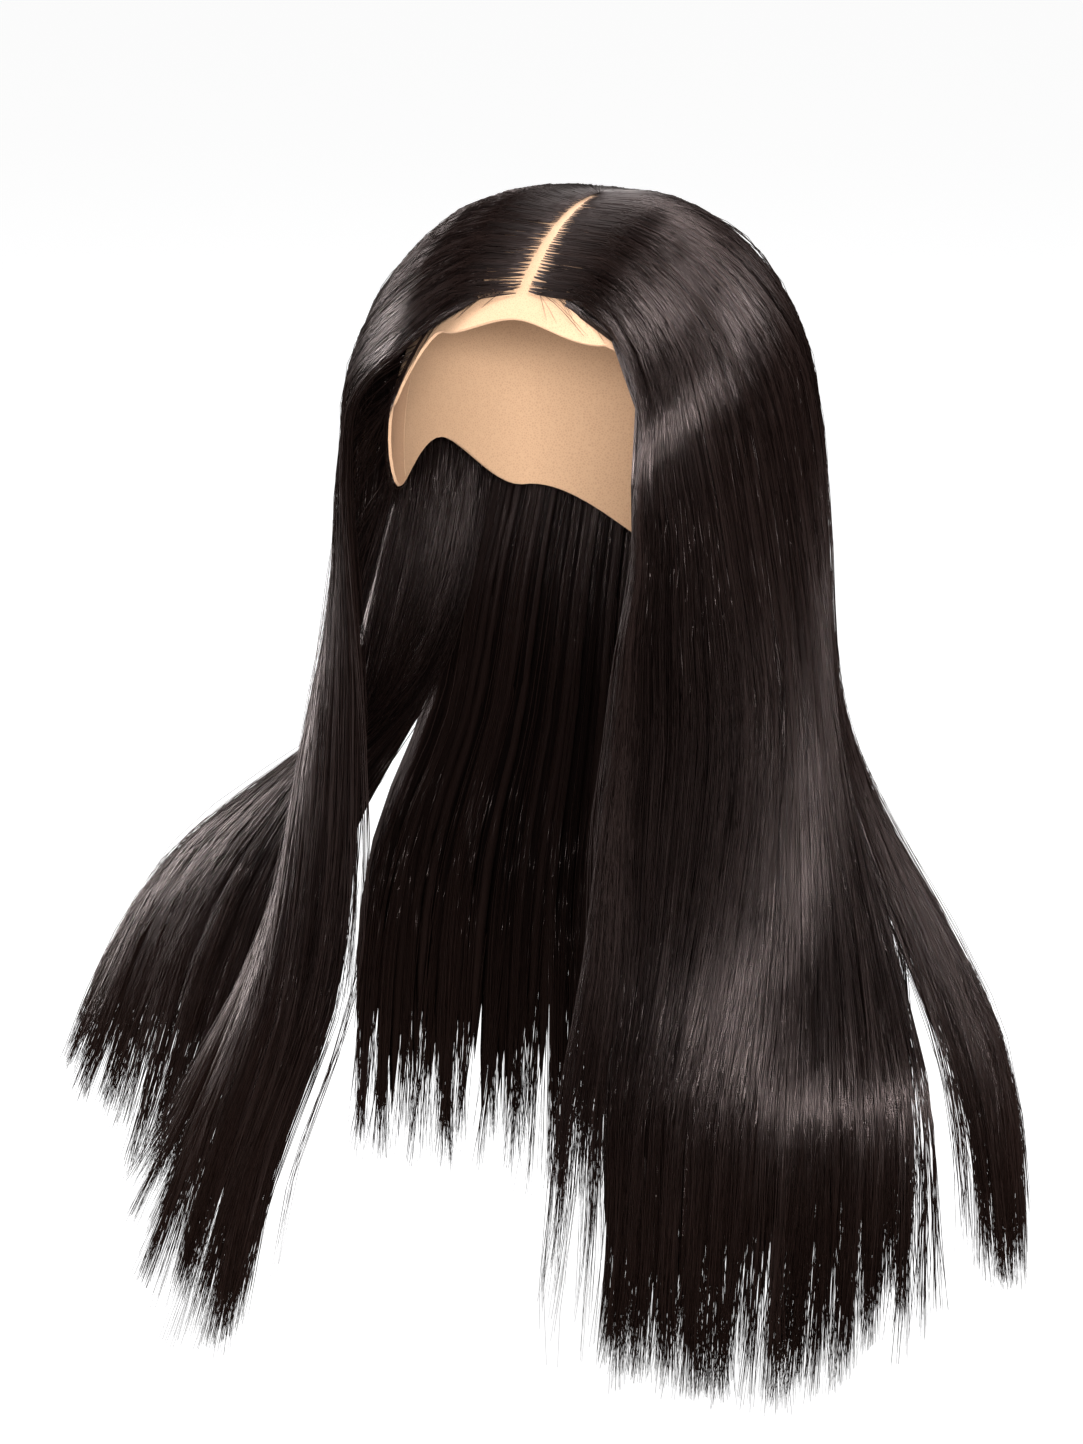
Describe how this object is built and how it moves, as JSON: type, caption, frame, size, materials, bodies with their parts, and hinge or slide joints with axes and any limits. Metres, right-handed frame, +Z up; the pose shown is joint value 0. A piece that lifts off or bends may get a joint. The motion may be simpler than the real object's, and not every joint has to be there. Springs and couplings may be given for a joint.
{
  "type": "long straight wig",
  "caption": "Long straight wig with a centre parting: a hollow lace-front cap that sits on a head, with dark hair falling in locks over the chest, shoulders and back.",
  "frame": {"origin": "the crown of the head that the cap sits on, the highest point inside the cap", "axes": "+Z up, -Y the way the face looks, +X to the wearer's left"},
  "size_m": [0.4605, 0.2271, 0.4842],
  "materials": {
    "hair": "glossy near-black brown straight hair",
    "lace": "matt fine peach-beige lace",
    "cap_net": "matt beige stretch net"
  },
  "bodies": {
    "root": {"cap": "cap_net", "lace_front": "lace", "hair_left_front": "hair", "hair_left_rear": "hair", "hair_back": "hair", "hair_right_shoulder": "hair", "hair_right_front": "hair"}
  },
  "joints": []
}
